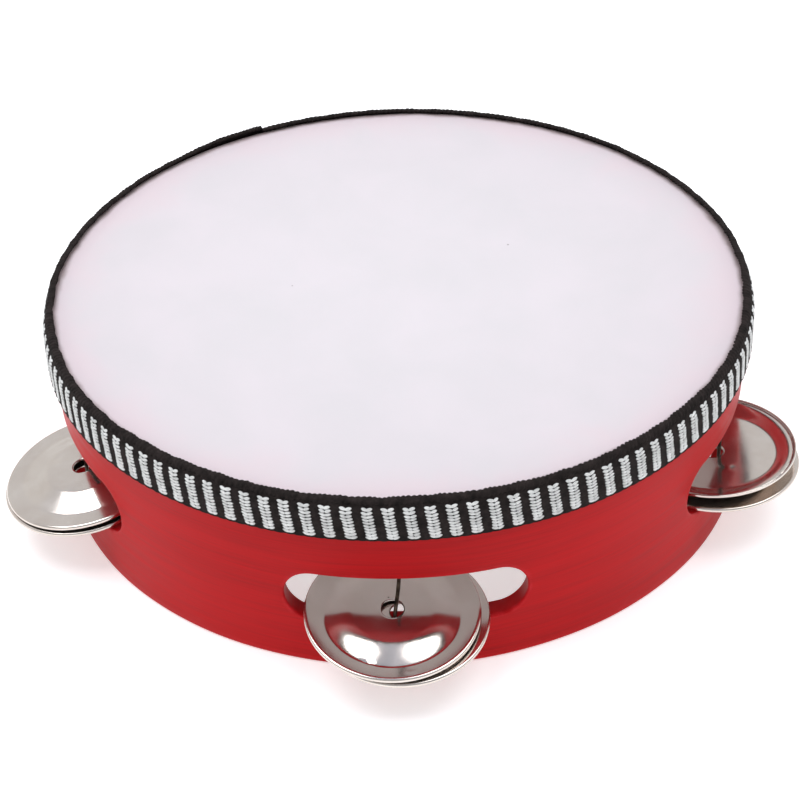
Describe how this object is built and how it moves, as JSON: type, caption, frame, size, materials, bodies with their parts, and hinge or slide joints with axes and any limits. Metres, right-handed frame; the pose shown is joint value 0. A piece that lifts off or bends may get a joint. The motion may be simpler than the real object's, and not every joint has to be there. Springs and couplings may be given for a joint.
{
  "type": "tambourine",
  "caption": "Small headed tambourine: red painted wooden hoop, skin head, woven braid trim, and loose steel jingle pairs on wire pins in slots.",
  "frame": {"origin": "middle of the head's playing face", "axes": "+Z out of the playing face along the hoop's axis; -Y towards the slot of pin_1, and the slots are numbered counter-clockwise seen from above"},
  "size_m": [0.1729, 0.1709, 0.0438],
  "materials": {
    "painted_wood": "satin red paint over a bent hardwood hoop, with faint lengthwise grain",
    "skin": "matt natural skin, pale, with a pink tint near the edge",
    "braid": "woven black braid with white bars and a corded black upper edge",
    "wire": "dull drawn steel wire",
    "jingle_steel": "bright stamped sheet steel with handling scratches"
  },
  "bodies": {
    "drum": {"hoop": "painted_wood", "drumhead": "skin", "ribbon_trim": "braid", "pin_1": "wire", "pin_2": "wire", "pin_3": "wire", "pin_4": "wire", "pin_5": "wire"},
    "jingle_1_lower": {"jingle_1_lower": "jingle_steel"},
    "jingle_1_upper": {"jingle_1_upper": "jingle_steel"},
    "jingle_2_lower": {"jingle_2_lower": "jingle_steel"},
    "jingle_2_upper": {"jingle_2_upper": "jingle_steel"},
    "jingle_3_lower": {"jingle_3_lower": "jingle_steel"},
    "jingle_3_upper": {"jingle_3_upper": "jingle_steel"},
    "jingle_4_lower": {"jingle_4_lower": "jingle_steel"},
    "jingle_4_upper": {"jingle_4_upper": "jingle_steel"},
    "jingle_5_lower": {"jingle_5_lower": "jingle_steel"},
    "jingle_5_upper": {"jingle_5_upper": "jingle_steel"}
  },
  "joints": [
    {"name": "jingle_1_lower_slide", "type": "slide", "parent": "drum", "child": "jingle_1_lower", "axis": [0.1045, 0, 0.9945], "range_m": [0, 0.0025]},
    {"name": "jingle_1_upper_slide", "type": "slide", "parent": "jingle_1_lower", "child": "jingle_1_upper", "axis": [0.1045, 0, 0.9945], "range_m": [0, 0.0034]},
    {"name": "jingle_2_lower_slide", "type": "slide", "parent": "drum", "child": "jingle_2_lower", "axis": [-0.0089, -0.0246, 0.9997], "range_m": [0, 0.0025]},
    {"name": "jingle_2_upper_slide", "type": "slide", "parent": "jingle_2_lower", "child": "jingle_2_upper", "axis": [-0.0089, -0.0246, 0.9997], "range_m": [0, 0.0034]},
    {"name": "jingle_3_lower_slide", "type": "slide", "parent": "drum", "child": "jingle_3_lower", "axis": [-0.0142, 0.0101, 0.9998], "range_m": [0, 0.0025]},
    {"name": "jingle_3_upper_slide", "type": "slide", "parent": "jingle_3_lower", "child": "jingle_3_upper", "axis": [-0.0142, 0.0101, 0.9998], "range_m": [0, 0.0034]},
    {"name": "jingle_4_lower_slide", "type": "slide", "parent": "drum", "child": "jingle_4_lower", "axis": [0.0142, 0.0101, 0.9998], "range_m": [0, 0.0025]},
    {"name": "jingle_4_upper_slide", "type": "slide", "parent": "jingle_4_lower", "child": "jingle_4_upper", "axis": [0.0142, 0.0101, 0.9998], "range_m": [0, 0.0034]},
    {"name": "jingle_5_lower_slide", "type": "slide", "parent": "drum", "child": "jingle_5_lower", "axis": [0.0087, -0.0247, 0.9997], "range_m": [0, 0.0025]},
    {"name": "jingle_5_upper_slide", "type": "slide", "parent": "jingle_5_lower", "child": "jingle_5_upper", "axis": [0.0087, -0.0247, 0.9997], "range_m": [0, 0.0034]}
  ]
}
